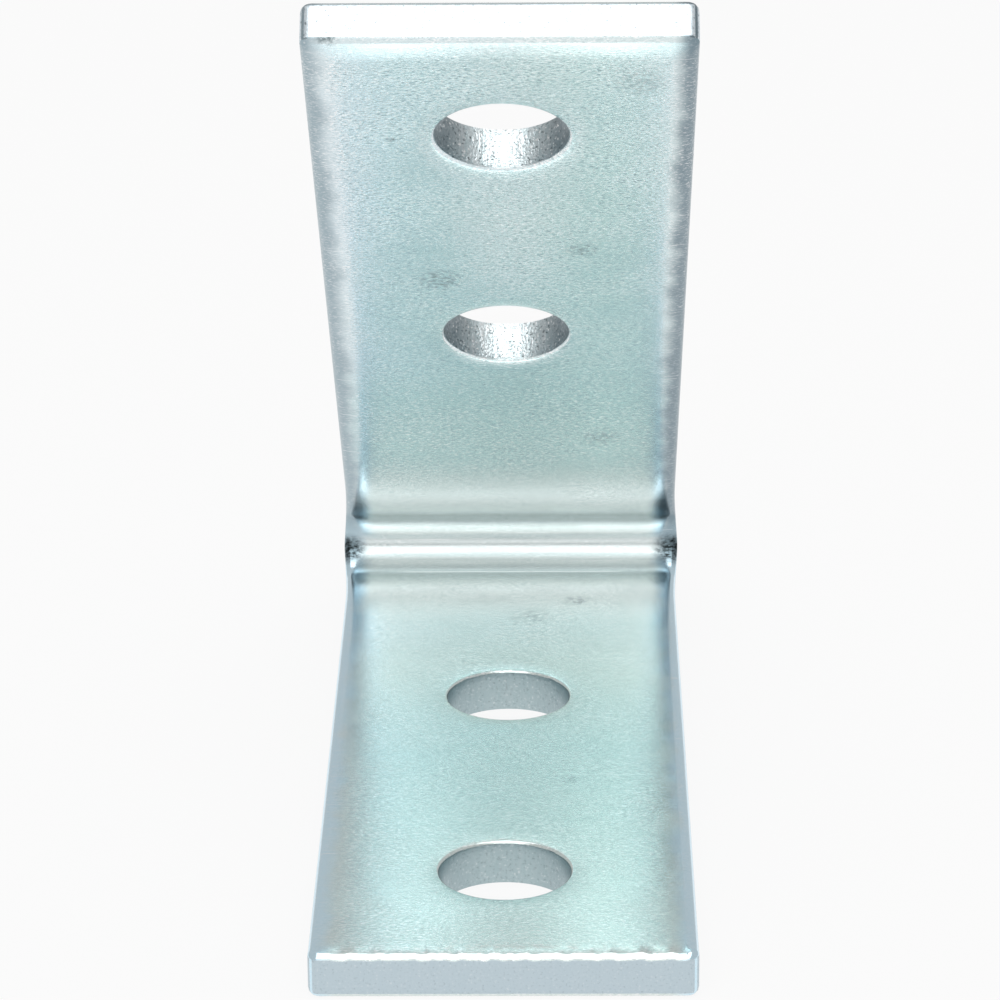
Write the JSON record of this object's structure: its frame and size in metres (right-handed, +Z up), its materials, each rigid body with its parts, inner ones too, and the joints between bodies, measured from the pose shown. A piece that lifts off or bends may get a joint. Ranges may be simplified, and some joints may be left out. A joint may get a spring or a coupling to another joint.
{
  "type": "strut angle fitting",
  "caption": "Flat steel bar folded to a closed forty-five degree angle, with round bolt holes in both legs, for joining strut channel at a slant.",
  "frame": {"origin": "under the middle of the fitting's box, on the outer face of the base leg", "axes": "+X across the bar, +Y along the base leg from its open end to the bend, +Z up"},
  "size_m": [0.0424, 0.1154, 0.1002],
  "materials": {
    "zinc_plated_steel": "satin, bright zinc plating with a pale blue-green passivation"
  },
  "bodies": {
    "root": {"angle_fitting": "zinc_plated_steel"}
  },
  "joints": []
}
